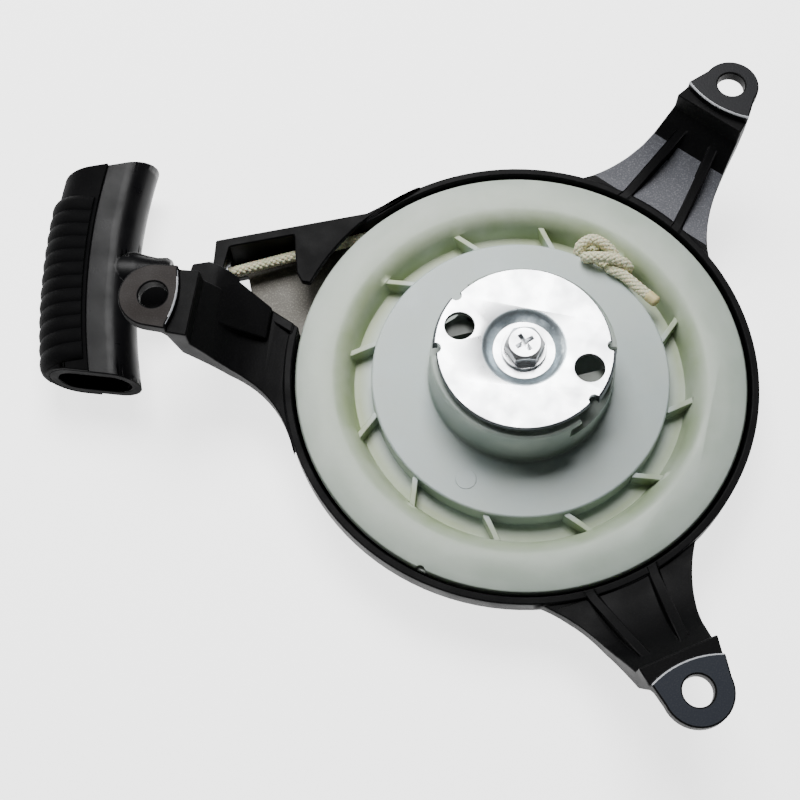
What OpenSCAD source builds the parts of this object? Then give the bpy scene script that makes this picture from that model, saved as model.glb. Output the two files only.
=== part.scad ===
// Recoil starter with a rope reel, a friction plate and two pawls.
// The origin is on the reel's axis in the plane of the three mounting pads, and +Z points to the engine.

/* [Mounting] */
// Diameter of the circle through the three mounting holes
bolt_circle_d = 206.5; // [200:0.5:212]
// Diameter of each mounting hole
ear_hole_d = 8; // [6:0.1:9]
// Radius of the left ear's round end
left_ear_r = 9.6; // [7.5:0.1:11]
// Radius of the back ear's round end
back_ear_r = 8.1; // [7.5:0.1:11]
// Radius of the front ear's round end
front_ear_r = 9.1; // [7.5:0.1:11]
// Thickness of each ear
ear_t = 3.6; // [2.5:0.1:5]

/* [Housing] */
// Height of the ring's top edge, below the mounting pads
ring_top_z = -23.3; // [-26:0.1:-21]
// Inner radius of the ring
ring_in_r = 66; // [65.8:0.1:68]
// Outer radius of the ring
ring_out_r = 68.2; // [68:0.1:70]
// Height of the bowl's floor on the inside
floor_top_z = -39.4; // [-42:0.1:-39]
// Thickness of the bowl's floor
floor_t = 3; // [2:0.1:4]
// Radius of the centre post
post_r = 6; // [5:0.1:7]

/* [Reel] */
// Outer radius of the reel
reel_r = 65; // [60:0.5:65]
// Top of the reel's rim
rim_top_z = -23.25; // [-24:0.05:-23]
// Radius of the raised web in the middle of the reel
web_r = 43.1; // [42:0.1:44]
// Radius of the hub
hub_r = 26.4; // [26:0.1:27]
// Number of ribs in the channel
rib_n = 12; // [6:1:18]

/* [Rope] */
// Diameter of the rope
rope_d = 3.3; // [3:0.1:4]
// Number of turns wound on the reel
rope_turn_n = 3; // [2:1:3]

/* [Plate] */
// Radius of the friction plate
plate_r = 24.4; // [23:0.1:25]
// Top of the friction plate
plate_top_z = -6.2; // [-6.5:0.1:-6]
// Thickness of the friction plate
plate_t = 1.6; // [1.2:0.1:1.8]
// Angle of the first tab's middle
tab_dir = 167.5; // [160:0.5:175]

/* [Handle] */
// Length of the grip
grip_l = 74; // [60:1:80]
// Depth of the grip, along the pull
grip_d = 26; // [24:0.5:30]
// Thickness of the grip
grip_t = 16; // [14:0.5:17]
// Direction in which the handle is pulled
pull_dir = 188; // [184:0.5:190]

/* [Hidden] */
$fn = 96;
black = "#1c1c1e";
nylon = "#c9d3c4";
zinc = "#d9dde2";
steel = "#9a9da1";
cream = "#ded8c0";

bolt_r = bolt_circle_d / 2;
rope_r = rope_d / 2;
rope_z = -29.8;
floor_low_z = floor_top_z - floor_t;
gap = 0.3;

// The outer turn leaves the reel here, and runs straight to the guide
core_r = 50.6;
rope_out_r = core_r + rope_r + (rope_turn_n - 1) * rope_d;
leave_a = 113.9;
leave_p = rope_out_r * [cos(leave_a), sin(leave_a)];
guide_run = 76.2;
guide_p = leave_p + guide_run * [cos(leave_a + 90), sin(leave_a + 90)];
pull_v = [cos(pull_dir), sin(pull_dir)];
grip_off = 37.5;
grip_p = guide_p + grip_off * pull_v;

// ---- shared shapes ----

// A point in the plane, turned about the axis
function turned(p, a) = [p[0] * cos(a) - p[1] * sin(a), p[0] * sin(a) + p[1] * cos(a)];
function unit(v) = v / norm(v);
// The direction of a path at point i
function path_dir(p, i) = unit(p[min(i + 1, len(p) - 1)] - p[max(i - 1, 0)]);
// One ring of a tube, square to direction d
function side_of(d) = unit(abs(d[2]) > 0.9 ? cross(d, [1, 0, 0]) : cross(d, [0, 0, 1]));
function ring_at(c, d, r, n) = let (s = side_of(d), t = cross(s, d))
    [for (k = [0 : n - 1]) c + r * cos(360 * k / n) * s + r * sin(360 * k / n) * t];

// A tube of radius r with n sides along the points p
module tube(p, r, n = 8) {
    last = len(p) - 1;
    rings = [for (i = [0 : last]) ring_at(p[i], path_dir(p, i), r, n)];
    points = [for (ring = rings) for (q = ring) q];
    sides = [for (i = [0 : last - 1]) for (k = [0 : n - 1]) let (m = (k + 1) % n)
        [i * n + k, i * n + m, (i + 1) * n + m, (i + 1) * n + k]];
    ends = [[for (k = [n - 1 : -1 : 0]) k], [for (k = [0 : n - 1]) last * n + k]];
    polyhedron(points = points, faces = concat(sides, ends), convexity = 8);
}

// A plain round piece from one height to another
module drum(r, low, high) {
    translate([0, 0, low]) cylinder(r = r, h = high - low);
}

// A round piece with a hole through it
module collar(r_in, r_out, low, high) {
    difference() {
        drum(r_out, low, high);
        drum(r_in, low - 1, high + 1);
    }
}

// ---- housing ----

bowl_profile = [
    [0, floor_low_z], [58.5, floor_low_z], [62, floor_low_z + 0.8], [63.4, floor_low_z + 2], [65.8, -35],
    [67.3, -31.4], [ring_out_r, -29.3], [ring_out_r, ring_top_z], [ring_in_r, ring_top_z], [ring_in_r, -28.5],
    [64.9, -32], [64.1, -35], [62.6, -37.6], [59.5, floor_top_z + 0.4], [54, floor_top_z], [0, floor_top_z]
];
// Half width of an arm at the distance u from the axis, for one side's [least width, spread, fade]
wide_side = [6.5, 17, 22];
slim_side = [8.8, 14, 14];
box_side = [9.5, 15.4, 9];
function arm_half_w(u, side) = side[0] + side[1] * exp((64.4 - u) / side[2]);
arm_us = [for (u = [61 : 2 : 97]) u];

module arm_outline(plus, minus, end_r) {
    polygon(concat([for (u = arm_us) [u, arm_half_w(u, plus)]], [[bolt_r, end_r], [bolt_r, -end_r]],
        [for (i = [len(arm_us) - 1 : -1 : 0]) [arm_us[i], -arm_half_w(arm_us[i], minus)]]));
    translate([bolt_r, 0]) circle(r = end_r);
}

// The left arm has a low web that meets the rope box
box_web = [[98.4, -9.4], [97.6, -17], [93, -18.4], [86.8, -17], [74, -12], [74, 0], [98.4, 0]];
box_web_side = [
    [61, -28.6], [88, -24], [98.6, -17.5], [98.6, -13], [97.6, -12.2], [90, -12.2], [84, -15.4],
    [67.5, -24.2], [61, -24.2]
];

// Side view of an arm: the ramp, the wall up to the pad and the pad
arm_side = [
    [61, -28.6], [71, -28.6], [83, -24.6], [91, -18.6], [95.5, -15], [98.2, -5.2], [99.5, -ear_t],
    [118, -ear_t], [118, 0], [92.4, 0], [92.2, -7.8], [90.6, -9.6], [88.4, -12.2], [85.6, -15.8], [82, -19],
    [77, -21.6], [72, -23.2], [67.5, -24.2], [61, -24.2]
];

// A side view stood up along the arm, as wide as needed
module stood(side_view) {
    translate([0, 40, 0]) rotate([90, 0, 0]) linear_extrude(80) polygon(side_view);
}

module arm_body(plus, minus, end_r) {
    intersection() {
        translate([0, 0, -60]) linear_extrude(80) arm_outline(plus, minus, end_r);
        stood(arm_side);
    }
}

module box_side_web() {
    intersection() {
        translate([0, 0, -60]) linear_extrude(80) polygon(box_web);
        stood(box_web_side);
    }
}

// The pad's inner edge, at the distance u, bulges towards the axis
module pad_relief(u) {
    relief_r = 26;
    difference() {
        translate([80, -20, -2.4]) cube([18, 40, 4]);
        translate([u + relief_r, 0, -3]) cylinder(r = relief_r, h = 6);
    }
}

// Two ribs that run together towards the ear
module arm_ribs() {
    rib_side = [
        [65, -27], [65, -23.3], [68.5, -23.3], [89, -11.4], [91.6, -9.2], [93, -9.2], [93, -16], [86, -22]
    ];
    for (s = [-1, 1]) {
        intersection() {
            stood(rib_side);
            translate([0, 0, -40]) linear_extrude(40)
                polygon([[64, s * 8.2], [64, s * 11.2], [94, s * 6], [94, s * 3.2]]);
        }
    }
}

// The arm beside the rope box has a web instead of ribs
module arm(end_r, pad_u, plus = wide_side, minus = slim_side, by_box = false) {
    difference() {
        union() {
            arm_body(plus, minus, end_r);
            if (by_box) box_side_web();
            if (!by_box) arm_ribs();
        }
        pad_relief(pad_u);
        translate([bolt_r, 0, -10]) cylinder(d = ear_hole_d, h = 20);
        drum(ring_in_r, -60, 10);
    }
}

// The rope box beside the left arm
box_top_z = -22.6;
box_floor_z = -35.6;
box_low_z = -38.4;
box_out = [[-95, 31], [-93.6, 15], [-88, 13.6], [-64, 2], [-50, 10], [-20, 50], [-37.2, 56.9], [-51.6, 46]];
box_in = [
    [-90.6, 29.4], [-91.2, 18.2], [-86.8, 16.2], [-64, 5.2], [-50, 10], [-20, 50], [-36, 55], [-51, 43.2]
];

module rope_box_shell() {
    difference() {
        translate([0, 0, box_low_z]) linear_extrude(box_top_z - box_low_z) polygon(box_out);
        drum(ring_in_r, -60, 0);
        drum(ring_out_r - 0.6, ring_top_z, 0);
    }
}

module rope_box_space() {
    translate([0, 0, box_floor_z]) linear_extrude(20) polygon(box_in);
    // Drain slot below the guide
    translate([-88, 23.6, box_low_z - 1]) rotate([0, 0, 20]) translate([-2.5, -3.5, 0]) cube([5.4, 6, 6]);
}

bridge_t = 2.2;
bridge_out = [[-72.6, 38.6], [-70.9, 30.5], [-69.2, 23.5], [-67.2, 20.6], [-50, 20], [-20, 50], [-37.2, 56.9],
    [-51.6, 46]];

module rope_bridge() {
    translate([0, 0, box_top_z - bridge_t]) linear_extrude(bridge_t) difference() {
        polygon(bridge_out);
        circle(r = ring_out_r - 0.4);
    }
}

guide_bore_r = 4.3;
post_top_z = -10.95;

module post() {
    difference() {
        union() {
            drum(post_r, floor_top_z - 1, post_top_z);
            drum(9, floor_top_z - 1, -38.8);
        }
        drum(3, -30, 0);
    }
}

// Peg that the recoil spring's outer end hooks onto
peg_p = [36.6, -1.75];
peg_r = 1.6;
module spring_peg() {
    translate([peg_p[0], peg_p[1], floor_top_z - 1]) cylinder(r = peg_r, h = 9.6);
}

// Shallow dome and stiffening ribs on the back
module back_relief() {
    for (k = [0 : 5]) rotate([0, 0, 60 * k + 30]) translate([26, -5, floor_low_z - 1]) cube([22, 10, 2.2]);
    rotate_extrude() polygon([[51, floor_low_z - 1], [53, floor_low_z - 1], [53, floor_low_z + 0.8],
        [51, floor_low_z + 0.8]]);
}

module housing() {
    color(black) difference() {
        union() {
            difference() {
                union() {
                    rotate_extrude() polygon(bowl_profile);
                    rope_box_shell();
                }
                rope_box_space();
            }
            rope_bridge();
            post();
            spring_peg();
            difference() {
                rotate([0, 0, 180]) arm(left_ear_r, 96.6, box_side, box_side, true);
                rope_box_space();
            }
            rotate([0, 0, 60]) arm(back_ear_r, 94.2);
            rotate([0, 0, -60]) arm(front_ear_r, 95.4);
        }
        back_relief();
        translate([guide_p[0], guide_p[1], rope_z]) rotate([0, 0, pull_dir]) rotate([0, 90, 0])
            cylinder(r = guide_bore_r, h = 8, center = true);
    }
}

guide_out_r = guide_bore_r - 0.03;
guide_profile = [
    [2.9, -1.8], [3.2, -2.7], [3.7, -3.2], [guide_out_r, -3.2], [guide_out_r, 3.2], [3.7, 3.2], [3.2, 2.7],
    [2.9, 1.8]
];

module rope_guide() {
    color(steel) translate([guide_p[0], guide_p[1], rope_z]) rotate([0, 0, pull_dir]) rotate([0, 90, 0])
        rotate_extrude() polygon(guide_profile);
}

// ---- spring under the reel ----

spring_n = 5;
spring_in_r = 9.6;
spring_out_r = 39.6;
spring_t = 0.6;
spring_step = 15;
function spiral_r(a) = spring_in_r + (spring_out_r - spring_in_r) * a / (360 * spring_n);
function spiral(off) = [for (a = [0 : spring_step : 360 * spring_n]) (spiral_r(a) + off) * [cos(a), sin(a)]];
spring_low_z = -38.2;
spring_high_z = -29.2;

module recoil_spring() {
    inside = spiral(0);
    outside = spiral(spring_t);
    hook = [[35, 0], [35, spring_t], [spring_out_r + spring_t, spring_t]];
    points = concat(inside, hook, [for (i = [len(outside) - 1 : -1 : 0]) outside[i]]);
    color(steel) translate([0, 0, spring_low_z]) linear_extrude(spring_high_z - spring_low_z) polygon(points);
}

// ---- centre ----

plate_low_z = plate_top_z - plate_t;
dish_drop = 2.3;
sleeve_r = 3.9;
screw_seat_z = plate_top_z - dish_drop + 0.1;

module thrust_washer() {
    color(steel) collar(sleeve_r + 0.2, 7.6, post_top_z + 0.05, post_top_z + 0.65);
}

module plate_sleeve() {
    color(steel) collar(3.1, sleeve_r, post_top_z, screw_seat_z);
}

// Hexagon screw with a flange and a cross recess
flange_r = 6.3;
head_h = 4;
module centre_screw() {
    head_low_z = screw_seat_z + 1.2;
    color(zinc) difference() {
        union() {
            drum(2.95, screw_seat_z - 14, screw_seat_z);
            drum(flange_r, screw_seat_z, head_low_z);
            intersection() {
                translate([0, 0, head_low_z]) rotate([0, 0, 10]) cylinder(d = 11.4, h = head_h, $fn = 6);
                translate([0, 0, head_low_z - 1]) cylinder(r1 = 9.4, r2 = 4.4, h = head_h + 1);
            }
        }
        for (a = [0, 90]) translate([0, 0, head_low_z + head_h]) rotate([0, 0, a + 40])
            cube([5.4, 1.1, 4], center = true);
    }
}

// ---- reel ----

web_top_z = -25.45;
pocket_z = -15.6;
hub_top_z = -9.2;
groove_top_z = -27.2;
groove_low_z = -32.4;
channel_z = -31.6;
boss_r = 8.6;
pivot_p = 17.5 * [cos(-50), sin(-50)];
pivot_r = 3;
pawl_swing = 25;
plate_lag = 12;
hub_profile = [
    [post_r + 0.06, -38.6], [boss_r, -38.6], [boss_r, -18.4], [23.2, -18.4], [23.2, -28], [40.6, -28],
    [40.6, -34.6], [43.4, -34.6], [43.4, -38.4], [45.4, -38.4], [45.4, -34.6], [63, -34.6], [63.4, -34.2],
    [63.4, -33.1],
    [core_r, groove_low_z], [core_r, groove_top_z], [64.6, groove_top_z + 0.5], [reel_r, groove_top_z + 1],
    [reel_r, rim_top_z - 1.5], [64.5, rim_top_z - 0.6], [62.6, rim_top_z - 0.1], [59, rim_top_z],
    [54.5, rim_top_z], [52.6, rim_top_z - 0.5], [51.2, rim_top_z - 1.6], [49.9, rim_top_z - 3.2],
    [48.4, channel_z], [web_r, channel_z], [web_r, web_top_z - 0.4], [web_r - 0.4, web_top_z],
    [hub_r + 0.4, web_top_z], [hub_r, web_top_z + 0.5], [hub_r - 0.2, hub_top_z - 0.5],
    [hub_r - 0.7, hub_top_z], [23.2, hub_top_z], [23.2, pocket_z], [boss_r, pocket_z], [boss_r, -11.6],
    [post_r + 0.06, -11.6]
];
rib_r_in = web_r - 0.5;
rib_lean = 35;

module channel_ribs() {
    rib_l = 10;
    for (k = [0 : rib_n - 1]) rotate([0, 0, 86.6 + 360 * k / rib_n]) translate([47, 0, channel_z - 0.4])
        rotate([0, 0, rib_lean]) translate([-rib_l / 2, -0.8, 0])
            cube([rib_l, 1.6, web_top_z - 0.8 - channel_z]);
}

// A wedge of a ring, from angle a1 to a2
module sector(r_in, r_out, low, high, a1, a2) {
    rotate([0, 0, a1]) translate([0, 0, low]) rotate_extrude(angle = a2 - a1)
        translate([r_in, 0]) square([r_out - r_in, high - low]);
}

module hub_windows() {
    for (a = [tab_dir, tab_dir + 180]) {
        rotate([0, 0, a]) sector(22.8, 28, pocket_z - 0.25, -10.5, -41.5, 21);
        rotate([0, 0, a]) sector(22.5, 28.4, -10.9, -8, -34, 22.5);
    }
}

module rope_pulley() {
    color(nylon) difference() {
        union() {
            rotate_extrude() polygon(hub_profile);
            intersection() {
                channel_ribs();
                collar(rib_r_in, 50, -40, 0);
            }
            for (a = [tab_dir, tab_dir + 180]) rotate([0, 0, a]) translate([pivot_p[0], pivot_p[1], 0])
                drum(pivot_r, pocket_z - 1, hub_top_z - 0.2);
        }
        hub_windows();
        // Hole that the rope comes through
        rotate([0, 0, 68.5]) translate([46, 0, rope_z + 0.2]) rotate([0, 90, 0]) cylinder(r = 1.8, h = 8);
        // Gate mark on the web and a nick in the rim
        rotate([0, 0, -109.4]) translate([35.6, 0, 0]) collar(2.3, 2.8, web_top_z - 0.25, web_top_z + 1);
        rotate([0, 0, -108.8]) translate([reel_r + 0.4, 0, rim_top_z - 2]) cylinder(r = 1.5, h = 4);
    }
}

module rope_turns() {
    color(cream) rotate_extrude() for (k = [0 : rope_turn_n - 1])
        translate([core_r + rope_r + 0.06 + k * (rope_d - 0.05), rope_z]) circle(r = rope_r, $fn = 24);
}

// Overhand knot in the channel, with its tail
knot_c = [20, 42.8, -27.2];
knot_dir = -35;
function knot_point(t) = let (a = 360 * t)
    [3.4 * (sin(a) + 2 * sin(2 * a)) / 2.1, 2.6 * (cos(a) - 2 * cos(2 * a)) / 2.6, -1.5 * sin(3 * a)];
module pulley_knot() {
    loop = [for (i = [0 : 30]) let (q = knot_point(0.03 + 0.94 * i / 30), m = turned([q[0], q[1]], knot_dir))
        knot_c + [m[0], m[1], q[2]]];
    tail = [
        [24.4, 39.4, -26], [28.2, 37.2, -25.2], [31.8, 34.6, -24.6], [35, 31.8, -24.2], [37.4, 29.3, -24]
    ];
    color(cream) {
        tube(loop, rope_r * 0.92);
        tube(tail, rope_r * 0.92);
    }
}

// ---- friction plate and pawls ----

// Small closed coil spring about the point c
module coil(c, r, wire, low, turns, steps = 12, leg = 0, leg_dir = 0) {
    wound = [for (i = [0 : round(turns * steps)]) let (a = 360 * i / steps)
        [c[0] + r * cos(a), c[1] + r * sin(a), low + wire + 2.1 * wire * a / 360]];
    end = wound[len(wound) - 1];
    legs = leg > 0 ? [end + leg * [cos(leg_dir), sin(leg_dir), 0]] : [];
    tube(concat(wound, legs), wire, 6);
}

module friction_spring() {
    color(steel) coil([0, 0], 9.4, 0.45, -15.5, 4.5, 16);
}

module pawl_spring() {
    coil(pivot_p, 3.6, 0.25, -10.7, 2.25, 12, 6, 52);
}

module pawl_spring_a() {
    color(steel) rotate([0, 0, tab_dir]) pawl_spring();
}

module pawl_spring_b() {
    color(steel) rotate([0, 0, tab_dir + 180]) pawl_spring();
}

// The plate's dish is drawn down round the screw
plate_profile = [
    [sleeve_r + 0.06, plate_top_z - dish_drop], [8.7, plate_top_z - dish_drop], [11, plate_top_z - 0.3],
    [11.8, plate_top_z], [plate_r - 0.3, plate_top_z], [plate_r, plate_top_z - 0.3], [plate_r, plate_low_z],
    [12.3, plate_low_z], [9.4, plate_low_z - dish_drop + 0.1],
    [sleeve_r + 0.06, plate_low_z - dish_drop + 0.1]
];
tab_half_a = 20;
tab_profile = [
    [plate_r - 1.4, plate_top_z], [plate_r + 0.3, plate_top_z], [plate_r + 0.8, plate_top_z - 0.4],
    [plate_r + 1, plate_top_z - 1], [plate_r + 1, plate_top_z - 3.4], [plate_r - 0.4, plate_top_z - 3.4],
    [plate_r - 0.4, plate_low_z], [plate_r - 1.4, plate_low_z]
];
plate_hole_r = 4.2;
plate_hole_at = 18.9;
notch_a = 20.6;
notch_r = 1.5;

module friction_plate() {
    color(zinc) difference() {
        union() {
            rotate_extrude() polygon(plate_profile);
            for (a = [tab_dir, tab_dir + 180]) rotate([0, 0, a - tab_half_a])
                rotate_extrude(angle = 2 * tab_half_a) polygon(tab_profile);
        }
        for (a = [tab_dir, tab_dir + 180]) rotate([0, 0, a]) {
            translate([plate_hole_at, 0, -20]) cylinder(r = plate_hole_r, h = 20);
            for (s = [-1, 1]) rotate([0, 0, s * notch_a]) translate([plate_r + 0.1, 0, -20])
                cylinder(r = notch_r, h = 20);
        }
    }
}

// The pawl's line at rest, and the pin that drives it
pawl_l = 20.5;
pawl_a0 = 51.2;
pin_r = 1.2;
pin_p = pivot_p + 9.6 * [cos(pawl_a0), sin(pawl_a0)];
pawl_low_z = pocket_z + 0.2;
pawl_high_z = -10.9;

module drive_pins() {
    color(steel) for (a = [tab_dir, tab_dir + 180]) rotate([0, 0, a]) translate([pin_p[0], pin_p[1], 0])
        drum(pin_r, -14.6, plate_low_z);
}

module pawl() {
    difference() {
        translate([pivot_p[0], pivot_p[1], 0]) rotate([0, 0, pawl_a0]) union() {
            drum(5, pawl_low_z, pawl_high_z);
            translate([0, 0, pawl_low_z]) linear_extrude(pawl_high_z - pawl_low_z)
                polygon([
                    [0, -4.4], [9, -3.6], [14, -2.2], [pawl_l, -2], [pawl_l, 1.4], [14, 3.4], [8, 5.4], [0, 5]
                ]);
        }
        translate([pivot_p[0], pivot_p[1], 0]) drum(pivot_r + 0.07, -20, 0);
        // The slot follows the pin, as the plate lags and the pawl swings
        for (t = [0 : 0.1 : 1]) {
            pin = turned(pin_p, -plate_lag * t) - pivot_p;
            at = pivot_p + turned(pin, pawl_swing * t);
            translate([at[0], at[1], 0]) drum(pin_r + gap, -20, 0);
        }
    }
}

module pawl_a() {
    color(nylon) rotate([0, 0, tab_dir]) pawl();
}

module pawl_b() {
    color(nylon) rotate([0, 0, tab_dir + 180]) pawl();
}

// ---- rope from the reel to the handle ----

module rope_lead() {
    start = concat(leave_p + 21.5 * unit(guide_p - leave_p), [rope_z]);
    bend = concat(guide_p - 3.4 * unit(guide_p - leave_p), [rope_z]);
    out = concat(guide_p + 3.4 * pull_v, [rope_z]);
    stop = concat(guide_p + (grip_off - 8.5) * pull_v, [rope_z]);
    color(cream) tube([start, (start + bend) / 2, bend, out, stop], rope_r * 0.97, 12);
}

// ---- handle ----

bow_r = 195;
grip_wall = 2.6;

// Moves children from the handle's own frame to their place
module at_grip() {
    translate([grip_p[0], grip_p[1], rope_z]) rotate([0, 0, pull_dir]) children();
}

// A long rounded outline, d deep and t thick
module oval(d, t) {
    square([d - t, t], center = true);
    for (s = [-1, 1]) translate([s * (d - t) / 2, 0]) circle(d = t, $fn = 48);
}

// Sweeps an outline along the bowed grip, over the length l
module bowed(l) {
    half = asin(l / 2 / bow_r);
    translate([-bow_r, 0, 0]) rotate([0, 0, -half]) rotate_extrude(angle = 2 * half, $fn = 96)
        translate([bow_r, 0]) children();
}

neck_l = 10.4;
neck_tip_r = 5.6;
bore_r = 2.3;
cover_t = 1.1;
part_x = 0;

module grip_neck() {
    rotate([0, -90, 0]) translate([0, 0, grip_d / 2 - 4]) rotate_extrude()
        polygon([[0, -6], [7.4, -6], [7.6, 0], [7.2, 4], [6.3, 7], [neck_tip_r, 10], [neck_tip_r, 13],
            [neck_tip_r - 0.8, neck_l + 4], [0, neck_l + 4]]);
}

// The ends slant, so that the finger side is the shorter one
module end_cut() {
    half = grip_l / 2;
    translate([0, 0, -20]) linear_extrude(40)
        polygon([[-20, -half - 0.6], [15, -half + 5.6], [15, half - 4.4], [-20, half]]);
}

module handle_grip() {
    color(black) at_grip() difference() {
        union() {
            intersection() {
                bowed(grip_l + 8) oval(grip_d, grip_t);
                end_cut();
            }
            intersection() {
                grip_neck();
                translate([-40, -20, -grip_t / 2]) cube([60, 40, grip_t]);
            }
        }
        bowed(grip_l + 12) oval(grip_d - 2 * grip_wall, grip_t - 2 * grip_wall);
        translate([-20, 0, 0]) rotate([0, 90, 0]) cylinder(r = bore_r, h = 40, center = true);
    }
}

ridge_n = 11;
ridge_step = 4.9;
module handle_cover() {
    color("#26262a") at_grip() difference() {
        intersection() {
            bowed(grip_l + 8) intersection() {
                oval(grip_d + 2 * cover_t, grip_t + 2 * cover_t);
                translate([part_x, -20]) square([40, 40]);
            }
            end_cut();
        }
        bowed(grip_l + 12) oval(grip_d, grip_t);
        // Grooves between the finger ridges
        for (k = [0 : ridge_n - 1]) translate([-bow_r, 0, 0])
            rotate([0, 0, asin((grip_l / 2 - 7 - ridge_step * k) / bow_r)])
            translate([bow_r + grip_d / 2 + cover_t + 1.1, 0, 0]) cylinder(r = 1.7, h = 30, center = true);
    }
}

stop_x = -grip_d / 2 + grip_wall;
module handle_stop() {
    color(steel) at_grip() translate([stop_x + 2.7, 0, 0]) rotate([0, 90, 0]) difference() {
        cylinder(r = 3.9, h = 1.6, center = true);
        cylinder(r = bore_r, h = 6, center = true);
    }
}

module handle_knot() {
    color(cream) at_grip() translate([stop_x + 6.32, 0, 0]) {
        sphere(r = 3.6, $fn = 32);
        rotate([0, 90, 0]) cylinder(r = rope_r * 0.9, h = 8);
    }
}

housing();
rope_guide();
recoil_spring();
thrust_washer();
plate_sleeve();
centre_screw();
rope_lead();
rope_pulley();
rope_turns();
pulley_knot();
friction_spring();
pawl_spring_a();
pawl_spring_b();
friction_plate();
drive_pins();
pawl_a();
pawl_b();
handle_grip();
handle_cover();
handle_stop();
handle_knot();
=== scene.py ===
"""Builds the looks of a recoil starter round its CAD frame.

The origin is on the reel's axis, in the plane of the mounting pads, with +Z towards the engine. Sizes and places are
in millimetres and are turned into metres by MM. The lights' are in metres.
"""

import math

import bmesh
import bpy
from bpy.props import FloatProperty, IntProperty, PointerProperty, StringProperty
from mathutils import Matrix, Vector


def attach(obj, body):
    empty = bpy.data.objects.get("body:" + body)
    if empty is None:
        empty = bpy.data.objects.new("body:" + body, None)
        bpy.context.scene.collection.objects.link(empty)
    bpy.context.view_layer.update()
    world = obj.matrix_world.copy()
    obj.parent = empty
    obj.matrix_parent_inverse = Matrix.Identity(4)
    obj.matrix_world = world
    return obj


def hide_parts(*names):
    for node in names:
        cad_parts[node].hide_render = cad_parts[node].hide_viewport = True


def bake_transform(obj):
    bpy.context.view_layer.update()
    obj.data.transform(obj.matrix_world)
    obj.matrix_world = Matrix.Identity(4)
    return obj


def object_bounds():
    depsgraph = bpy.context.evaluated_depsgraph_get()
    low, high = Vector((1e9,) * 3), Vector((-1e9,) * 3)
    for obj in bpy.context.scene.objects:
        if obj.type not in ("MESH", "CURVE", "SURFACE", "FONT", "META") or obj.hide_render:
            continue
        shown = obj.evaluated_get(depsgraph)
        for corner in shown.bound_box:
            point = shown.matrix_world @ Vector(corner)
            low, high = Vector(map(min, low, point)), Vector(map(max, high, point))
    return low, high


bl_info = {
    "name": "Recoil starter",
    "version": (1, 0, 0),
    "blender": (4, 5, 0),
    "location": "3D View > Sidebar > Starter",
    "description": "Builds the looks of a recoil starter round its CAD frame",
    "category": "Object",
}

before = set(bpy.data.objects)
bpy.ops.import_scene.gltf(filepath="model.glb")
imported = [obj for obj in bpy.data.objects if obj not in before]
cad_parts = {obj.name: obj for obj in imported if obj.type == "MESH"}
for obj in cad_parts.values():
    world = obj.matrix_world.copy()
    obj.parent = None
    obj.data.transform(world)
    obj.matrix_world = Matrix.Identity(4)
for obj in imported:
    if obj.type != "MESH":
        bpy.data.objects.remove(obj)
cad_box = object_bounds()

MM = 0.001

# The rope leaves the reel, runs to the guide, turns, and runs on into the handle
ROPE_Z = -29.8
LEAVE_ANGLE = math.radians(113.9)
LEAVE_RADIUS = 58.85
GUIDE_RUN = 76.2
PULL_ANGLE = math.radians(188)
GRIP_RUN = 37.5


def heading(angle):
    """Unit vector in the plane of the rope."""
    return Vector((math.cos(angle), math.sin(angle), 0))


LEAVE_AT = LEAVE_RADIUS * heading(LEAVE_ANGLE) + Vector((0, 0, ROPE_Z))
REEL_RUN = heading(LEAVE_ANGLE + math.pi / 2)
GUIDE_AT = LEAVE_AT + GUIDE_RUN * REEL_RUN
PULL = heading(PULL_ANGLE)
GRIP_AT = GUIDE_AT + GRIP_RUN * PULL
LEAD_STARTS = 21.5
LEAD_STOPS_SHORT = 8.5

# Where the casting's finishes change: the pads, the painted highlight along their inner edges, and the low floors
# that carry a painted sheen and a painted reflection
PAD_SKIN = 0.05
HIGHLIGHT_FROM, HIGHLIGHT_TO, HIGHLIGHT_DEPTH = 92.5, 98.2, 0.6
ARM_FROM, ARM_TO, ARM_HALF_WIDTH = 66, 92, 26
RIB_FOOT, RIB_FOOT_Z, RIB_SLOPE, RIB_MARGIN = 68.5, -23.3, 0.58, 0.9
BOX_FLOOR_Z, BOX_END_X, BOX_SIDE_Y = -33, -60, 8

# The gate mark on the reel's web
GATE_ANGLE = math.radians(-109.4)
GATE_OUT, GATE_Z, GATE_RADIUS, GATE_THICK = 35.6, -25.62, 2.95, 0.6

# The plate's dish, which carries a painted dark reflection, and its sheared edge, which carries painted shade, from
# the axis
DISH_FROM, DISH_TO, EDGE_SHADE_FROM = 8.7, 12, 24

# The grip's bow, its finger ridges and its neck
GRIP_BOW = 195.0
RIDGES, RIDGE_PITCH, RIDGE_FIRST, RIDGE_OUT = 12, 4.3, 28, 5
RIDGE_BEND, RIDGE_ROUND, RIDGE_STRETCH, RIDGE_ROOT = 8.7, 1.9, 1.7, 4
NECK_BACK, NECK_ASIDE, NECK_LENGTH, NECK_EDGE = 17.2, 3.3, 12.5, 1.6
NECK_HALF_WIDTHS = (5.6, 8.3)


# ---- settings ----


class StarterSizes(bpy.types.PropertyGroup):
    """Sizes of the details that the CAD model leaves to the looks."""

    cast_edge: FloatProperty(
        name="Cast edge",
        description="Radius of the rounded edges of the casting",
        default=0.45 * MM,
        unit="LENGTH",
    )
    moulded_edge: FloatProperty(
        name="Moulded edge",
        description="Radius of the rounded edges of the nylon reel",
        default=0.25 * MM,
        unit="LENGTH",
    )
    pressed_edge: FloatProperty(
        name="Pressed edge",
        description="Radius of the edges of the pressed plate",
        default=0.15 * MM,
        unit="LENGTH",
    )
    rope_diameter: FloatProperty(
        name="Rope diameter",
        description="Diameter of the braided rope",
        default=3.5 * MM,
        unit="LENGTH",
    )
    braid_strands: IntProperty(
        name="Braid strands",
        description="Strands that run each way round the rope",
        default=6,
        min=4,
    )
    braid_pitch: FloatProperty(
        name="Braid pitch",
        description="Length of rope in which a strand goes once round",
        default=10.5 * MM,
        unit="LENGTH",
    )


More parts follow.
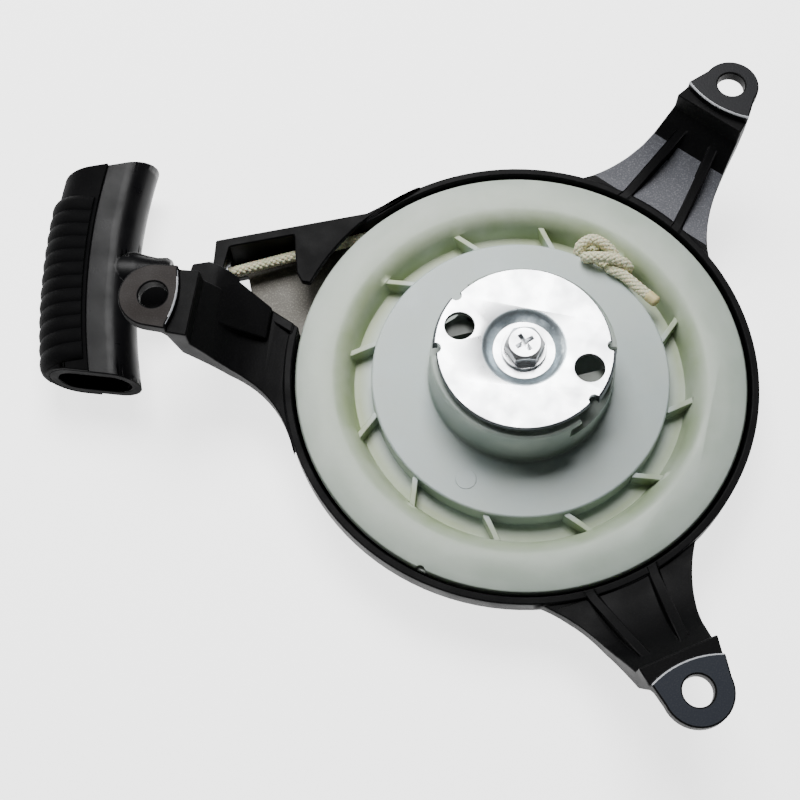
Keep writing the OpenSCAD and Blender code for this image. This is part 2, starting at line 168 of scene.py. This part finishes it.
class StarterColours(bpy.types.PropertyGroup):
    """Colours of the finishes, as sRGB hex values."""

    paint: StringProperty(name="Paint", description="Black powder coat", default="#0a0a0b")
    # A lighter coat that paints the softbox's sheen on the back arm's floor
    sheen_painted_coat: StringProperty(
        name="Painted sheen", description="Powder coat with casting grain and a painted sheen", default="#54555b"
    )
    zinc: StringProperty(name="Zinc", description="Bright zinc plate", default="#eef0f2")
    rope: StringProperty(name="Rope", description="Cream polyester yarn", default="#ece7c3")
    sealed_rope: StringProperty(name="Sealed rope", description="Melted rope end", default="#cfbf84")
    handle: StringProperty(name="Handle", description="Satin black plastic", default="#0d0d0f")


def sizes():
    return bpy.context.scene.starter_sizes


def colours():
    return bpy.context.scene.starter_colours


# ---- nodes and materials ----


def linear(colour):
    """An sRGB hex colour as linear red, green, blue and alpha."""
    parts = [int(colour[i : i + 2], 16) / 255 for i in (1, 3, 5)]
    return [c / 12.92 if c <= 0.04045 else ((c + 0.055) / 1.055) ** 2.4 for c in parts] + [1.0]


def add(tree, kind, values=None, links=None, **settings):
    """Adds a node with its settings, its sockets' values, and links from (node, output) to its sockets."""
    node = tree.nodes.new(kind)
    for name, value in settings.items():
        setattr(node, name, value)
    for socket, value in (values or {}).items():
        node.inputs[socket].default_value = value
    for socket, (source, output) in (links or {}).items():
        tree.links.new(source.outputs[output], node.inputs[socket])
    return node


def new_material(name, values):
    """A material with its shader's own values set, and the object's coordinates ready for patterns."""
    material = bpy.data.materials.new(name)
    material.use_nodes = True
    tree = material.node_tree
    shader = tree.nodes["Principled BSDF"]
    for socket, value in values.items():
        shader.inputs[socket].default_value = value
    place = add(tree, "ShaderNodeTexCoord")
    return material, tree, shader, place


def grain(tree, place, size_mm, detail=3.0):
    """Noise whose blotches are about size_mm across."""
    return add(
        tree,
        "ShaderNodeTexNoise",
        values={"Scale": 1 / (size_mm * MM), "Detail": detail},
        links={"Vector": (place, "Object")},
    )


def spread(tree, source, output, low, high, from_low=0.3, from_high=0.7):
    """Stretches a pattern's middle values to run from low to high."""
    return add(
        tree,
        "ShaderNodeMapRange",
        values={"From Min": from_low, "From Max": from_high, "To Min": low, "To Max": high},
        links={"Value": (source, output)},
    )


def blend_colours(tree, factor, output, first, second):
    """Goes from the first colour to the second as factor rises. Either may be a colour node."""
    node = add(tree, "ShaderNodeMix", data_type="RGBA", links={0: (factor, output)})
    for socket, colour in ((6, first), (7, second)):
        if isinstance(colour, str):
            node.inputs[socket].default_value = linear(colour)
        else:
            tree.links.new(colour.outputs[2], node.inputs[socket])
    return node


def bump(tree, shader, source, output, height_mm, strength=1.0):
    """Raises the surface by a pattern that is height_mm deep."""
    node = add(
        tree,
        "ShaderNodeBump",
        values={"Strength": strength, "Distance": height_mm * MM},
        links={"Height": (source, output)},
    )
    tree.links.new(node.outputs["Normal"], shader.inputs["Normal"])
    return node


def powder_coat(name, colour, roughness, speck, speck_colour, shine):
    """Powder coat on a die casting: the fine orange peel breaks up each reflection into specks."""
    material, tree, shader, place = new_material(name, {"IOR": 1.5, "Specular IOR Level": shine})
    peel = grain(tree, place, 0.42, 2.0)
    cloud = grain(tree, place, 9.0, 4.0)
    tint = spread(tree, peel, "Fac", 0.0, speck, 0.5, 0.8)
    mixed = blend_colours(tree, tint, "Result", colour, speck_colour)
    tree.links.new(mixed.outputs[2], shader.inputs["Base Color"])
    sheen = spread(tree, cloud, "Fac", roughness - 0.07, roughness + 0.09)
    tree.links.new(sheen.outputs["Result"], shader.inputs["Roughness"])
    bump(tree, shader, peel, "Fac", 0.06, 0.5)
    return material


def natural_nylon():
    """Natural nylon, moulded: milky, with a greener tint in the rope channel, and painted shade on the hub's wall
    and towards +X and -Y.
    """
    material, tree, shader, place = new_material(
        "natural_moulded_nylon",
        {
            "IOR": 1.53,
            "Subsurface Weight": 0.25,
            "Subsurface Radius": (0.9, 1.0, 0.7),
            "Subsurface Scale": 2.5 * MM,
        },
    )
    # The tint at each distance from the axis, from the hub over the web and the channel to the rim; the darker tint
    # at 26 mm is painted shade on the hub's wall
    inner, outer = 20, 70
    tints = (
        (26, "#8f9c94"),
        (28, "#b3c1c0"),
        (43, "#b7c4c3"),
        (47, "#9dab7c"),
        (51, "#a4b38a"),
        (55, "#b3c0ac"),
        (65, "#bac5ba"),
    )
    parts = add(tree, "ShaderNodeSeparateXYZ", links={"Vector": (place, "Object")})
    flat = add(tree, "ShaderNodeCombineXYZ", links={"X": (parts, "X"), "Y": (parts, "Y")})
    radius = add(tree, "ShaderNodeVectorMath", operation="LENGTH", links={0: (flat, 0)})
    ramp = add(tree, "ShaderNodeValToRGB")
    scaled = add(
        tree,
        "ShaderNodeMapRange",
        values={"From Min": inner * MM, "From Max": outer * MM},
        links={"Value": (radius, "Value")},
    )
    tree.links.new(scaled.outputs["Result"], ramp.inputs["Fac"])
    place_stops(ramp, [((radius_mm - inner) / (outer - inner), colour) for radius_mm, colour in tints])
    cloud = grain(tree, place, 14.0, 5.0)
    amount = spread(tree, cloud, "Fac", 0.0, 0.5, 0.4, 0.75)
    cloudy = blend_colours(tree, amount, "Result", "#bac5ba", "#dde3da")
    tree.links.new(ramp.outputs["Color"], cloudy.inputs[6])
    # A darker, greener tint that grows towards +X and -Y: painted shade on the side away from the lights
    toward_painted_shade = add(
        tree,
        "ShaderNodeVectorMath",
        operation="DOT_PRODUCT",
        values={1: (0.8, -0.6, 0)},
        links={0: (place, "Object")},
    )
    side = spread(tree, toward_painted_shade, "Value", 0.0, 0.5, -40 * MM, 75 * MM)
    mixed = blend_colours(tree, side, "Result", cloudy, "#7d8d86")
    tree.links.new(mixed.outputs[2], shader.inputs["Base Color"])
    sheen = spread(tree, cloud, "Fac", 0.34, 0.5)
    tree.links.new(sheen.outputs["Result"], shader.inputs["Roughness"])
    fine = grain(tree, place, 1.4, 3.0)
    bump(tree, shader, fine, "Fac", 0.05, 0.4)
    return material


def place_stops(ramp, stops):
    """Puts a colour ramp's stops at (position, colour)."""
    elements = ramp.color_ramp.elements
    while len(elements) < len(stops):
        elements.new(1.0)
    for element, (position, colour) in zip(elements, stops):
        element.position = position
        element.color = linear(colour)


def bright_zinc():
    """Bright zinc plate on pressed steel: nearly white, with fine rolling marks and rubbed patches."""
    material, tree, shader, place = new_material("bright_zinc_plate", {"Metallic": 1.0})
    cloud = grain(tree, place, 7.0, 5.0)
    marks = grain(tree, place, 0.5, 2.0)
    amount = spread(tree, cloud, "Fac", 0.0, 0.5, 0.4, 0.75)
    mixed = blend_colours(tree, amount, "Result", colours().zinc, "#d3d6da")
    tree.links.new(mixed.outputs[2], shader.inputs["Base Color"])
    rough = spread(tree, cloud, "Fac", 0.22, 0.4)
    tree.links.new(rough.outputs["Result"], shader.inputs["Roughness"])
    bump(tree, shader, marks, "Fac", 0.012, 0.4)
    return material


def turned_steel(name="plain_turned_steel", colour="#a3a4a6", roughness=0.32, dark="#6f7073"):
    """Plain steel, turned or drawn: grey, with marks that follow the tool."""
    material, tree, shader, place = new_material(name, {"Metallic": 1.0})
    marks = grain(tree, place, 0.8, 4.0)
    mixed = blend_colours(tree, marks, "Fac", colour, dark)
    tree.links.new(mixed.outputs[2], shader.inputs["Base Color"])
    rough = spread(tree, marks, "Fac", roughness - 0.08, roughness + 0.1)
    tree.links.new(rough.outputs["Result"], shader.inputs["Roughness"])
    bump(tree, shader, marks, "Fac", 0.01, 0.4)
    return material


def braided_polyester(name="braided_polyester", colour=None):
    """Polyester yarn, braided: each strand is a bundle of bright filaments with darker gaps between."""
    material, tree, shader, place = new_material(
        name,
        {"Roughness": 0.62, "Sheen Weight": 0.25, "Subsurface Weight": 0.15, "Subsurface Scale": 0.6 * MM},
    )
    fibre = grain(tree, place, 0.35, 3.0)
    mixed = blend_colours(tree, fibre, "Fac", colour or colours().rope, colour or "#d9d4b4")
    tree.links.new(mixed.outputs[2], shader.inputs["Base Color"])
    bump(tree, shader, fibre, "Fac", 0.08, 0.5)
    return material


def sealed_polyester():
    """Polyester melted at the cut: harder, smoother and yellower than the yarn."""
    material, tree, shader, place = new_material(
        "melted_polyester",
        {"Subsurface Weight": 0.2, "Subsurface Scale": 0.8 * MM},
    )
    lumps = grain(tree, place, 1.0, 3.0)
    mixed = blend_colours(tree, lumps, "Fac", colours().sealed_rope, "#e2d7a6")
    tree.links.new(mixed.outputs[2], shader.inputs["Base Color"])
    rough = spread(tree, lumps, "Fac", 0.35, 0.6)
    tree.links.new(rough.outputs["Result"], shader.inputs["Roughness"])
    bump(tree, shader, lumps, "Fac", 0.15, 0.6)
    return material


def handle_plastic(name, colour, roughness, texture_mm, height_mm, shine):
    """Black moulded plastic, either satin or spark-textured for grip."""
    material, tree, shader, place = new_material(name, {"IOR": 1.5, "Specular IOR Level": shine})
    texture = grain(tree, place, texture_mm, 3.0)
    cloud = grain(tree, place, 6.0, 4.0)
    mixed = blend_colours(tree, cloud, "Fac", colour, "#0b0b0c")
    tree.links.new(mixed.outputs[2], shader.inputs["Base Color"])
    rough = spread(tree, cloud, "Fac", roughness - 0.06, roughness + 0.08)
    tree.links.new(rough.outputs["Result"], shader.inputs["Roughness"])
    bump(tree, shader, texture, "Fac", height_mm, 0.5)
    return material


def floor_white():
    """Matt white acrylic, lit a little from below."""
    material, tree, shader, place = new_material(
        "backlit_white_acrylic",
        {"Roughness": 0.9, "Emission Color": (1, 1, 1, 1), "Emission Strength": 2.4},
    )
    fibre = grain(tree, place, 3.0, 2.0)
    mixed = blend_colours(tree, fibre, "Fac", "#fbfbfb", "#f6f6f6")
    tree.links.new(mixed.outputs[2], shader.inputs["Base Color"])
    return material


MATERIALS = {}


def material(key):
    """Makes each material once."""
    makers = {
        "paint": lambda: powder_coat("black_powder_coat", colours().paint, 0.5, 0.05, "#4a4a4c", 0.07),
        # A painted sheen: the softbox's reflection on the back arm's floor
        "painted_sheen": lambda: powder_coat("powder_coat_painted_sheen", colours().sheen_painted_coat, 0.6, 0.28, "#b9bac2", 0.3),
        # A painted reflection of the softbox on the rope box's floor
        "painted_reflection": lambda: powder_coat("powder_coat_painted_reflection", "#6b6861", 0.6, 0.4, "#c2beb3", 0.3),
        # One rubbed coat on the pads; their three different tints are painted reflections
        "pad_left": lambda: powder_coat("rubbed_coat_painted_reflection_brown", "#241f1d", 0.55, 0.12, "#6a6664", 0.16),
        "pad_back": lambda: powder_coat("rubbed_coat_painted_reflection_black", "#121317", 0.4, 0.05, "#6a6664", 0.2),
        "pad_front": lambda: powder_coat("rubbed_coat_painted_reflection_grey", "#292d35", 0.5, 0.12, "#6a6664", 0.16),
        # A painted highlight along the pads' inner edges
        "painted_edge_highlight": lambda: powder_coat("edge_highlight_painted_coat", "#a9abb0", 0.4, 0.4, "#e2e3e6", 0.5),
        "nylon": natural_nylon,
        "zinc": bright_zinc,
        # A painted dark reflection on the plate's dish
        "dish": lambda: turned_steel("zinc_painted_dark_reflection", "#dfe8ec", 0.36, "#a9bac3"),
        # Painted shade on the plate's outer edge, a dark outline under it
        "edge_shade": lambda: turned_steel("zinc_edge_painted_shade", "#4d565b", 0.4),
        "steel": turned_steel,
        "spring": lambda: turned_steel("blued_spring_steel", "#5a606b", 0.28),
        "rope": braided_polyester,
        "rope_gap": lambda: braided_polyester("shaded_polyester", "#4b462c"),
        "sealed": sealed_polyester,
        "satin": lambda: handle_plastic("satin_moulded_plastic", colours().handle, 0.33, 0.5, 0.03, 0.12),
        "matt": lambda: handle_plastic("spark_textured_plastic", "#070708", 0.7, 0.6, 0.12, 0.05),
        # Nylon darkened as painted shade, for the pawls under the plate
        "pawl_shade": lambda: handle_plastic("nylon_painted_shade", "#4f5a4c", 0.35, 1.2, 0.03, 0.4),
        "floor": floor_white,
    }
    if key not in MATERIALS:
        MATERIALS[key] = makers[key]()
    return MATERIALS[key]


# ---- mesh tools ----


def deselect():
    for other in list(bpy.context.selected_objects):
        other.select_set(False)


def pick(piece):
    """Makes the piece the only one selected, and active."""
    deselect()
    piece.select_set(True)
    bpy.context.view_layer.objects.active = piece


def cad_copy(node, name):
    """A new piece in a CAD node's shape, its loose triangles joined and its flat faces made whole."""
    piece = bpy.data.objects.new(name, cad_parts[node].data.copy())
    bpy.context.collection.objects.link(piece)
    piece.data.materials.clear()
    pick(piece)
    bpy.ops.mesh.customdata_custom_splitnormals_clear()
    bpy.ops.object.mode_set(mode="EDIT")
    bpy.ops.mesh.select_all(action="SELECT")
    bpy.ops.mesh.remove_doubles(threshold=0.002 * MM)
    bpy.ops.mesh.dissolve_limited(angle_limit=math.radians(0.5))
    bpy.ops.object.mode_set(mode="OBJECT")
    return piece


def round_edges(piece, radius, segments=2, angle=32):
    """Rounds every edge sharper than the angle, and shades the rest smooth."""
    pick(piece)
    bpy.ops.object.shade_smooth_by_angle(angle=math.radians(angle))
    rounded = piece.modifiers.new("edges", "BEVEL")
    rounded.width = radius
    rounded.segments = segments
    rounded.limit_method = "ANGLE"
    rounded.angle_limit = math.radians(angle)
    rounded.use_clamp_overlap = False
    rounded.miter_outer = "MITER_ARC"
    rounded.harden_normals = True
    bpy.ops.object.modifier_apply(modifier=rounded.name)


# ---- braided rope ----


def smooth_route(points, step):
    """Points about step apart on a smooth curve through the given ones."""
    points = [2 * points[0] - points[1], *points, 2 * points[-1] - points[-2]]
    route = []
    for a, b, c, d in zip(points, points[1:], points[2:], points[3:]):
        count = max(2, round((c - b).length / step))
        for i in range(count):
            t = i / count
            route.append(
                0.5 * (2 * b + (c - a) * t + (2 * a - 5 * b + 4 * c - d) * t**2 + (3 * b - a - 3 * c + d) * t**3)
            )
    route.append(points[-2])
    return route


def directions(route):
    """The unit direction of a route at each of its points."""
    ends = zip([route[0], *route[:-1]], [*route[1:], route[-1]])
    return [(after - before).normalized() for before, after in ends]


def square_frames(route):
    """Two directions square to the route at each point, carried along it without a twist."""
    heads = directions(route)
    side = heads[0].orthogonal().normalized()
    frames = []
    for head in heads:
        side = (side - head * side.dot(head)).normalized()
        frames.append((side, head.cross(side)))
    return frames


def sweep(bm, route, outline_at, material_index=0):
    """Skins the closed outlines that outline_at(i) gives at each point of a route, and closes the ends."""
    rings = [[bm.verts.new(place) for place in outline_at(i)] for i in range(len(route))]
    sides = len(rings[0])
    for low, high in zip(rings, rings[1:]):
        for k in range(sides):
            m = (k + 1) % sides
            bm.faces.new((low[k], low[m], high[m], high[k])).material_index = material_index
    bm.faces.new(reversed(rings[0])).material_index = material_index
    bm.faces.new(rings[-1]).material_index = material_index


def round_outline(route, frames, radius_at, sides):
    """Outlines of a round tube whose radius changes along its route."""

    def outline(i):
        side, up = frames[i]
        angles = [2 * math.pi * k / sides for k in range(sides)]
        return [route[i] + radius_at(i) * (math.cos(a) * side + math.sin(a) * up) for a in angles]

    return outline


def piece_from(bm, name, keys):
    """Makes a piece of a finished mesh, with its normals pointing out, and its materials."""
    bmesh.ops.recalc_face_normals(bm, faces=bm.faces)
    mesh = bpy.data.meshes.new(name)
    bm.to_mesh(mesh)
    bm.free()
    mesh.shade_smooth()
    piece = bpy.data.objects.new(name, mesh)
    bpy.context.collection.objects.link(piece)
    for key in keys:
        mesh.materials.append(material(key))
    return piece


def braided_rope(name, points):
    """A braided rope through the points: strands wind both ways, over one and under one, on a solid core."""
    step = 0.28 * MM
    route = smooth_route([p * MM for p in points], step)
    frames = square_frames(route)
    lengths = [0.0]
    for before, after in zip(route, route[1:]):
        lengths.append(lengths[-1] + (after - before).length)
    radius = sizes().rope_diameter / 2
    count = sizes().braid_strands
    turn = 2 * math.pi / sizes().braid_pitch
    thick = 0.2 * radius
    middle = radius - 1.6 * thick
    wide = 0.62 * math.pi * radius / count
    weave = 0.6 * thick
    bm = bmesh.new()
    sweep(bm, route, round_outline(route, frames, lambda i: middle - 0.3 * thick, 12), 1)
    for way in (1, -1):
        for k in range(count):

            def strand_radius(i, way=way):
                return middle + way * weave * math.cos(count * turn * lengths[i])

            def strand_angle(i, way=way, k=k):
                return way * turn * lengths[i] + 2 * math.pi * k / count

            def outward(i, strand_angle=strand_angle):
                side, up = frames[i]
                return math.cos(strand_angle(i)) * side + math.sin(strand_angle(i)) * up

            strand = [route[i] + strand_radius(i) * outward(i) for i in range(len(route))]
            heads = directions(strand)

            def outline(i, strand=strand, heads=heads, outward=outward):
                out = outward(i)
                across = heads[i].cross(out).normalized()
                angles = [math.pi * j / 3 for j in range(6)]
                return [strand[i] + wide * math.cos(a) * across + thick * math.sin(a) * out for a in angles]

            sweep(bm, strand, outline)
    return piece_from(bm, name, ("rope", "rope_gap"))


def dress(node, key):
    """Gives a CAD node that stays in view its material."""
    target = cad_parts[node]
    target.data.materials.clear()
    target.data.materials.append(material(key))


# ---- pieces ----


class STARTER_OT_casting(bpy.types.Operator):
    """Rounds the casting's edges and paints it"""

    bl_idname = "starter.casting"
    bl_label = "Casting"

    def execute(self, context):
        piece = cad_copy("housing", "cast_housing")
        round_edges(piece, sizes().cast_edge)
        finishes = ("paint", "painted_sheen", "painted_reflection", "pad_left", "pad_back", "pad_front", "painted_edge_highlight")
        for key in finishes:
            piece.data.materials.append(material(key))
        for face in piece.data.polygons:
            face.material_index = finishes.index(self.finish(face))
        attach(piece, "housing")
        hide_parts("housing")
        return {"FINISHED"}

    def finish(self, face):
        """The finish of a face: pads are rubbed, their three tints painted reflections, their inner edges a painted
        highlight, and the low floors a painted sheen and a painted reflection of the softbox.
        """
        x, y, z = (v / MM for v in face.center)
        lie = face.normal.z
        # The pads are rubbed, and their three tints by position are painted reflections
        if z > -PAD_SKIN and lie > 0.95:
            return "pad_left" if x < 0 else "pad_back" if y > 0 else "pad_front"
        # A painted highlight along the pads' inner edges
        if z > -HIGHLIGHT_DEPTH and HIGHLIGHT_FROM < math.hypot(x, y) < HIGHLIGHT_TO:
            return "painted_edge_highlight"
        # Along the back arm, which points 60 degrees round from +X, and square to it
        along = (x + math.sqrt(3) * y) / 2
        across = abs(y - math.sqrt(3) * x) / 2
        on_arm = ARM_FROM < along < ARM_TO and across < ARM_HALF_WIDTH
        rib_top = RIB_FOOT_Z + RIB_SLOPE * (along - RIB_FOOT)
        # The back arm's floor below its ribs gets a painted sheen, the softbox's reflection
        if on_arm and lie > 0.7 and z < rib_top - RIB_MARGIN:
            return "painted_sheen"
        # The rope box's low floor gets a painted reflection of the softbox
        if lie > 0.9 and z < BOX_FLOOR_Z and x < BOX_END_X and y > BOX_SIDE_Y:
            return "painted_reflection"
        return "paint"


class STARTER_OT_reel(bpy.types.Operator):
    """Rounds the nylon reel's edges and gives it its milky finish"""

    bl_idname = "starter.reel"
    bl_label = "Reel"

    def execute(self, context):
        piece = cad_copy("rope_pulley", "nylon_reel")
        round_edges(piece, sizes().moulded_edge)
        piece.data.materials.append(material("nylon"))
        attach(piece, "reel")
        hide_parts("rope_pulley")
        self.gate_mark()
        return {"FINISHED"}

    def gate_mark(self):
        """The flat button left on the web where the nylon was let into the mould."""
        deselect()
        bpy.ops.mesh.primitive_cylinder_add(
            vertices=48,
            radius=GATE_RADIUS * MM,
            depth=GATE_THICK * MM,
            location=(GATE_OUT * heading(GATE_ANGLE) + Vector((0, 0, GATE_Z))) * MM,
        )
        piece = bpy.context.object
        piece.name = "gate_mark"
        bpy.ops.object.transform_apply(location=True, rotation=True, scale=True)
        round_edges(piece, 0.12 * MM, 3)
        piece.data.materials.append(material("nylon"))
        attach(piece, "reel")


class STARTER_OT_rope_lead(bpy.types.Operator):
    """Braids the rope from the reel through the guide into the handle"""

    bl_idname = "starter.rope_lead"
    bl_label = "Rope lead"

    def execute(self, context):
        start = LEAVE_AT + LEAD_STARTS * REEL_RUN
        points = [
            start,
            (start + GUIDE_AT) / 2,
            GUIDE_AT - 5 * REEL_RUN,
            GUIDE_AT,
            GUIDE_AT + 5 * PULL,
            GUIDE_AT + 14 * PULL,
            GUIDE_AT + (GRIP_RUN - LEAD_STOPS_SHORT) * PULL,
        ]
        piece = braided_rope("rope_lead_braid", points)
        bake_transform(piece)
        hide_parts("rope_lead")
        return {"FINISHED"}


class STARTER_OT_rope_knot(bpy.types.Operator):
    """Ties the rope's inner end in the reel's channel and melts its tip"""

    bl_idname = "starter.rope_knot"
    bl_label = "Rope knot"

    def execute(self, context):
        route = (
            (18.7, 47.4, -29.6),
            (17.2, 44.6, -29.0),
            (13.8, 42.0, -26.8),
            (13.4, 43.6, -24.2),
            (16.6, 45.6, -23.0),
            (21.0, 44.5, -23.9),
            (24.3, 41.9, -26.6),
            (21.6, 40.4, -28.0),
            (17.4, 40.3, -26.2),
            (15.2, 39.4, -23.2),
            (17.8, 38.9, -21.4),
            (22.0, 38.9, -21.0),
            (26.2, 38.5, -22.2),
            (28.2, 38.0, -24.6),
            (26.0, 38.6, -26.8),
            (23.0, 38.2, -26.4),
            (23.2, 36.8, -23.9),
            (27.2, 34.9, -23.9),
            (31.8, 31.6, -24.1),
            (34.7, 29.5, -24.2),
        )
        points = [Vector(place) for place in route]
        piece = braided_rope("rope_knot_braid", points)
        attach(piece, "reel")
        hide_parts("pulley_knot")
        tip = self.melted_tip(points[-1], (points[-1] - points[-2]).normalized())
        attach(tip, "reel")
        return {"FINISHED"}

    def melted_tip(self, start, along):
        """The cut end, melted hard: a little thicker than the rope, and blunt."""
        radii = (1.5, 1.72, 1.8, 1.74, 1.8, 1.7, 1.78, 1.66, 1.2)
        ring_gap, overlap = 0.5, 0.6
        route = [(start + along * (ring_gap * i - overlap)) * MM for i in range(len(radii))]
        frames = square_frames(route)
        bm = bmesh.new()
        sweep(bm, route, round_outline(route, frames, lambda i: radii[i] * MM, 20))
        return piece_from(bm, "melted_rope_tip", ("sealed",))


class STARTER_OT_handle(bpy.types.Operator):
    """Rounds the grip and its finger-side cover, and adds the ridges and the neck"""

    bl_idname = "starter.handle"
    bl_label = "Handle"

    def execute(self, context):
        for node, name, key, mould in (
            ("handle_grip", "satin_grip", "satin", "satin_handle"),
            ("handle_cover", "ridged_cover", "matt", "matt_handle"),
        ):
            piece = cad_copy(node, name)
            round_edges(piece, 0.35 * MM, 3)
            piece.data.materials.append(material(key))
            piece.data.materials.append(material("matt"))
            along = heading(PULL_ANGLE + math.pi / 2)
            for face in piece.data.polygons:
                face.material_index = 1 if abs(face.normal.dot(along)) > 0.6 else 0
            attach(piece, "handle")
            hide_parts(node)
        self.finger_ridges()
        self.neck()
        return {"FINISHED"}

    def finger_ridges(self):
        """Rounded ridges across the finger side, with the end nearest the arm left smooth."""
        ridges = []
        for k in range(RIDGES):
            bow = math.asin((RIDGE_FIRST - RIDGE_PITCH * k) / GRIP_BOW)
            outward = heading(PULL_ANGLE + bow)
            centre = (GRIP_AT - GRIP_BOW * PULL + (GRIP_BOW + RIDGE_OUT) * outward) * MM
            deselect()
            bpy.ops.mesh.primitive_torus_add(
                major_segments=48,
                minor_segments=16,
                major_radius=RIDGE_BEND * MM,
                minor_radius=RIDGE_ROUND * MM,
                location=centre,
                rotation=(math.pi / 2, 0, PULL_ANGLE + bow),
            )
            ridge = bpy.context.object
            ridge.scale.z = RIDGE_STRETCH
            bpy.ops.object.mode_set(mode="EDIT")
            bpy.ops.mesh.select_all(action="SELECT")
            bpy.ops.mesh.bisect(plane_co=centre, plane_no=outward, clear_inner=True, use_fill=True)
            bpy.ops.mesh.extrude_region_move(TRANSFORM_OT_translate={"value": -RIDGE_ROOT * MM * outward})
            bpy.ops.object.mode_set(mode="OBJECT")
            ridges.append(ridge)
        pick(ridges[0])
        for ridge in ridges[1:]:
            ridge.select_set(True)
        bpy.ops.object.join()
        bpy.ops.object.transform_apply(location=True, rotation=True, scale=True)
        piece = bpy.context.object
        piece.name = "finger_ridges"
        bpy.ops.object.shade_smooth_by_angle(angle=math.radians(50))
        piece.data.materials.append(material("matt"))
        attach(piece, "handle")

    def neck(self):
        """The broad flattened neck that the rope comes out of, flared where it meets the grip."""
        deselect()
        across = heading(PULL_ANGLE + math.pi / 2)
        bpy.ops.mesh.primitive_cylinder_add(
            vertices=64,
            radius=MM,
            depth=NECK_LENGTH * MM,
            location=(GRIP_AT - NECK_BACK * PULL + NECK_ASIDE * across) * MM,
            rotation=(0, -math.pi / 2, PULL_ANGLE),
        )
        piece = bpy.context.object
        piece.name = "handle_neck"
        piece.scale = (*NECK_HALF_WIDTHS, 1)
        bpy.ops.object.transform_apply(location=True, rotation=True, scale=True)
        round_edges(piece, NECK_EDGE * MM, 5)
        piece.data.materials.append(material("matt"))
        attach(piece, "handle")


class STARTER_OT_fittings(bpy.types.Operator):
    """Finishes the metal parts, the springs and the pawls"""

    bl_idname = "starter.fittings"
    bl_label = "Fittings"

    def execute(self, context):
        for node, name, body, edge in (
            ("friction_plate", "zinc_plate", "plate", sizes().pressed_edge),
            ("centre_screw", "flange_screw", "housing", 0.12 * MM),
        ):
            piece = cad_copy(node, name)
            round_edges(piece, edge, 3, 25)
            for key in ("zinc", "dish", "edge_shade"):
                piece.data.materials.append(material(key))
            # The dish gets a painted dark reflection, and the plate's outer edge painted shade
            for face in piece.data.polygons:
                radius = math.hypot(face.center.x, face.center.y) / MM
                in_dish_reflection = DISH_FROM < radius < DISH_TO and face.normal.z < 0.999
                in_edge_shade = radius > EDGE_SHADE_FROM and face.normal.z < 0.98
                face.material_index = 2 if in_edge_shade else 1 if in_dish_reflection else 0
            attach(piece, body)
            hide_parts(node)
        finishes = {
            "steel": ("rope_guide", "thrust_washer", "plate_sleeve", "drive_pins", "handle_stop"),
            "spring": ("recoil_spring", "friction_spring", "pawl_spring_a", "pawl_spring_b"),
            # The pawls are darkened as painted shade under the plate
            "pawl_shade": ("pawl_a", "pawl_b"),
            "rope": ("rope_turns", "handle_knot"),
        }
        for key, nodes in finishes.items():
            for node in nodes:
                dress(node, key)
        return {"FINISHED"}


class STARTER_OT_stage(bpy.types.Operator):
    """Sets up the white floor, the lights and the camera"""

    bl_idname = "starter.stage"
    bl_label = "Stage"

    def execute(self, context):
        deselect()
        low = cad_box[0][2] - 0.5 * MM
        bpy.ops.mesh.primitive_plane_add(size=6, location=(0, 0, low))
        floor = context.object
        floor.name = "white_floor"
        floor.data.materials.append(material("floor"))
        add_light("softbox_above", (-0.13, 0.36, 0.64), 0.42, 8.5)
        add_light("softbox_left", (-0.8, 0.3, 0.5), 0.3, 2.0)
        world = bpy.data.worlds.new("studio")
        world.use_nodes = True
        world.node_tree.nodes["Background"].inputs["Color"].default_value = (1, 1, 1, 1)
        world.node_tree.nodes["Background"].inputs["Strength"].default_value = 0.06
        context.scene.world = world
        add_camera()
        return {"FINISHED"}


def add_light(name, place, size, watts):
    """A square softbox that faces the object. Its place and size are in metres."""
    data = bpy.data.lights.new(name, "AREA")
    data.shape = "SQUARE"
    data.size = size
    data.energy = watts
    lamp = bpy.data.objects.new(name, data)
    bpy.context.collection.objects.link(lamp)
    lamp.location = place
    aim = Vector((0, 0, -0.025)) - Vector(place)
    lamp.rotation_euler = aim.to_track_quat("-Z", "Y").to_euler()


def add_camera():
    """Looks down on the starter from in front, a little from the left."""
    right = Vector((0.99155, 0.12954, -0.0072))
    up = Vector((-0.11677, 0.91526, 0.38558))
    back = right.cross(up).normalized()
    up = back.cross(right.normalized())
    data = bpy.data.cameras.new("camera")
    data.lens = 60.7
    data.sensor_width = 36
    data.shift_x = -0.0377
    camera = bpy.data.objects.new("camera", data)
    bpy.context.collection.objects.link(camera)
    turn = Matrix((right.normalized(), up, back)).transposed().to_4x4()
    camera.matrix_world = Matrix.Translation(Vector((-3.0, -158.5, 331.0)) * MM) @ turn
    bpy.context.scene.camera = camera


class STARTER_PT_panel(bpy.types.Panel):
    """Lists the steps that build the starter"""

    bl_idname = "STARTER_PT_panel"
    bl_label = "Recoil starter"
    bl_space_type = "VIEW_3D"
    bl_region_type = "UI"
    bl_category = "Starter"

    def draw(self, context):
        for step in STEPS:
            self.layout.operator(step.bl_idname)


STEPS = (
    STARTER_OT_casting,
    STARTER_OT_reel,
    STARTER_OT_rope_lead,
    STARTER_OT_rope_knot,
    STARTER_OT_handle,
    STARTER_OT_fittings,
    STARTER_OT_stage,
)
CLASSES = (StarterSizes, StarterColours, *STEPS, STARTER_PT_panel)


def register():
    for cls in CLASSES:
        bpy.utils.register_class(cls)
    bpy.types.Scene.starter_sizes = PointerProperty(type=StarterSizes)
    bpy.types.Scene.starter_colours = PointerProperty(type=StarterColours)


def unregister():
    del bpy.types.Scene.starter_colours
    del bpy.types.Scene.starter_sizes
    for cls in reversed(CLASSES):
        bpy.utils.unregister_class(cls)


def main():
    register()
    bpy.ops.starter.casting()
    bpy.ops.starter.reel()
    bpy.ops.starter.rope_lead()
    bpy.ops.starter.rope_knot()
    bpy.ops.starter.handle()
    bpy.ops.starter.fittings()
    bpy.ops.starter.stage()


if __name__ == "__main__":
    main()
